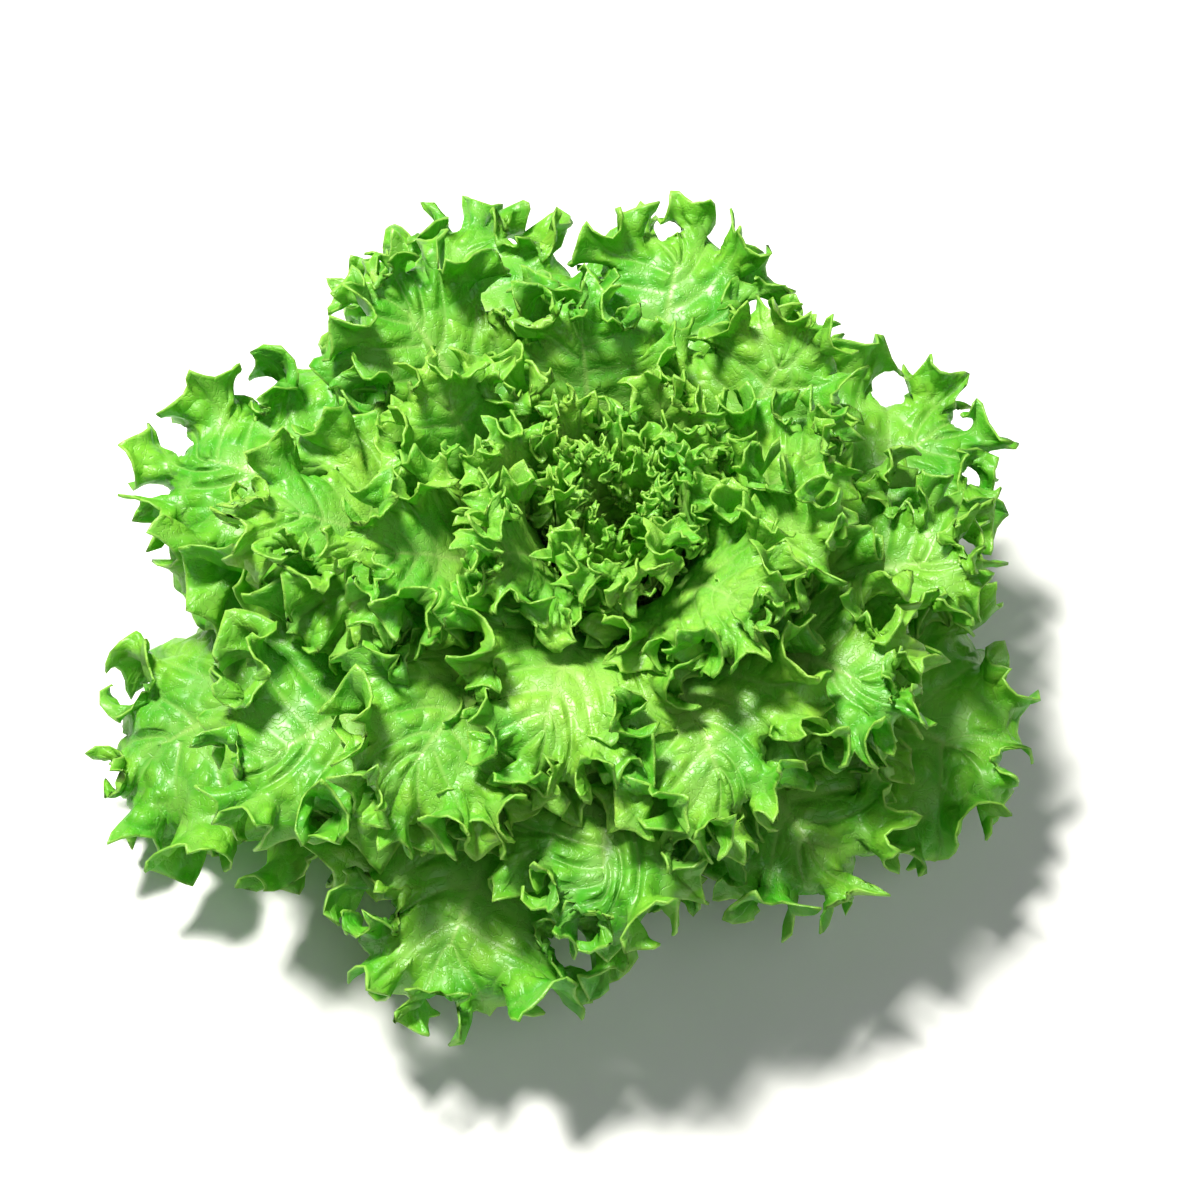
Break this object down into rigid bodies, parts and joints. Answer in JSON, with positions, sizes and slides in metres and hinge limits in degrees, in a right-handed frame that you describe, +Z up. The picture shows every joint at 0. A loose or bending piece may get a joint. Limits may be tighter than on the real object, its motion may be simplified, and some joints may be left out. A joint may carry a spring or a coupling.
{
  "type": "green leaf lettuce",
  "caption": "Loose head of frilled green lettuce leaves set in a spiral on a short cut stem; stands upright on the stem's cut face.",
  "frame": {"origin": "centre of the stem's cut face, which stands on the surface", "axes": "+Z up along the stem; the head is seen from -Y, and reaches furthest out towards -X"},
  "size_m": [0.3053, 0.312, 0.1379],
  "materials": {
    "outer_leaf": "living leaf, satin, blistered, thin enough to glow when lit from behind",
    "middle_leaf": "living leaf, satin, frilled, a paler yellow-green than the outer leaves",
    "heart_leaf": "young leaf, satin, tightly frilled, pale yellow-green",
    "stem": "fleshy pale stem, damp cut face turning slightly brown at its rim"
  },
  "bodies": {
    "root": {"stem": "stem", "leaf_01": "outer_leaf", "leaf_02": "outer_leaf", "leaf_03": "outer_leaf", "leaf_04": "outer_leaf", "leaf_05": "outer_leaf", "leaf_06": "outer_leaf", "leaf_07": "outer_leaf", "leaf_08": "outer_leaf", "leaf_09": "outer_leaf", "leaf_10": "outer_leaf", "leaf_11": "outer_leaf", "leaf_12": "outer_leaf", "leaf_13": "middle_leaf", "leaf_14": "middle_leaf", "leaf_15": "middle_leaf", "leaf_16": "middle_leaf", "leaf_17": "middle_leaf", "leaf_18": "middle_leaf", "leaf_19": "middle_leaf", "leaf_20": "middle_leaf", "leaf_21": "middle_leaf", "leaf_22": "middle_leaf", "leaf_23": "middle_leaf", "leaf_24": "middle_leaf", "leaf_25": "middle_leaf", "leaf_26": "middle_leaf", "leaf_27": "heart_leaf", "leaf_28": "heart_leaf", "leaf_29": "heart_leaf", "leaf_30": "heart_leaf", "leaf_31": "heart_leaf", "leaf_32": "heart_leaf", "leaf_33": "heart_leaf", "leaf_34": "heart_leaf", "leaf_35": "heart_leaf", "leaf_36": "heart_leaf", "leaf_37": "heart_leaf", "leaf_38": "heart_leaf"}
  },
  "joints": []
}
